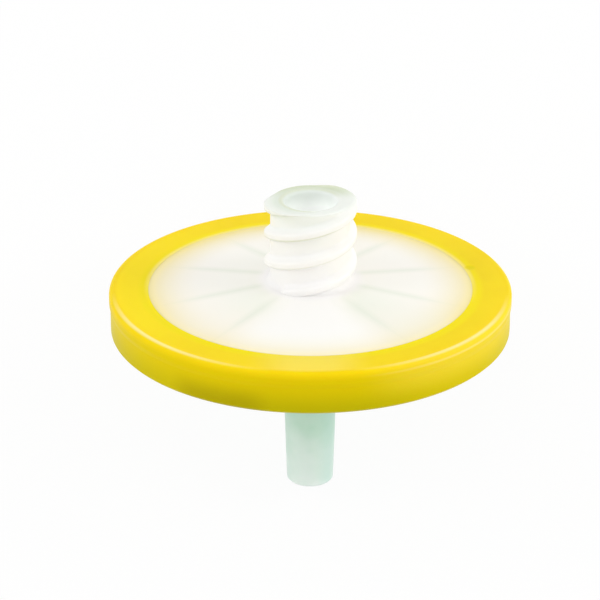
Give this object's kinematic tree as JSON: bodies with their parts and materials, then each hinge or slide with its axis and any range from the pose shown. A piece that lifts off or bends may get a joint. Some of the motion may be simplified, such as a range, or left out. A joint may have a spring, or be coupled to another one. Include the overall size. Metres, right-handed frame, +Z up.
{
  "type": "syringe filter",
  "caption": "Round in-line membrane filter with a threaded conical inlet, a plain conical outlet nozzle and a moulded sealing ring.",
  "frame": {"origin": "on the bench the filter rests on, straight below the centre of the membrane's top face", "axes": "+Z up from the bench; +X along the ring's diameter, level; the filter's own axis lies in the YZ plane, and its inlet points up and towards +Y at 44 degrees from upright, because the filter leans on its ring's foot and on its outlet's tip"},
  "size_m": [0.0337, 0.0264, 0.0257],
  "materials": {
    "housing_plastic": "natural polypropylene, milky and translucent, satin",
    "membrane_sheet": "white microporous sheet, dull",
    "ring_plastic": "opaque yellow, moulded satin"
  },
  "bodies": {
    "root": {"inlet_housing": "housing_plastic", "outlet_housing": "housing_plastic", "membrane": "membrane_sheet", "sealing_ring": "ring_plastic"}
  },
  "joints": []
}
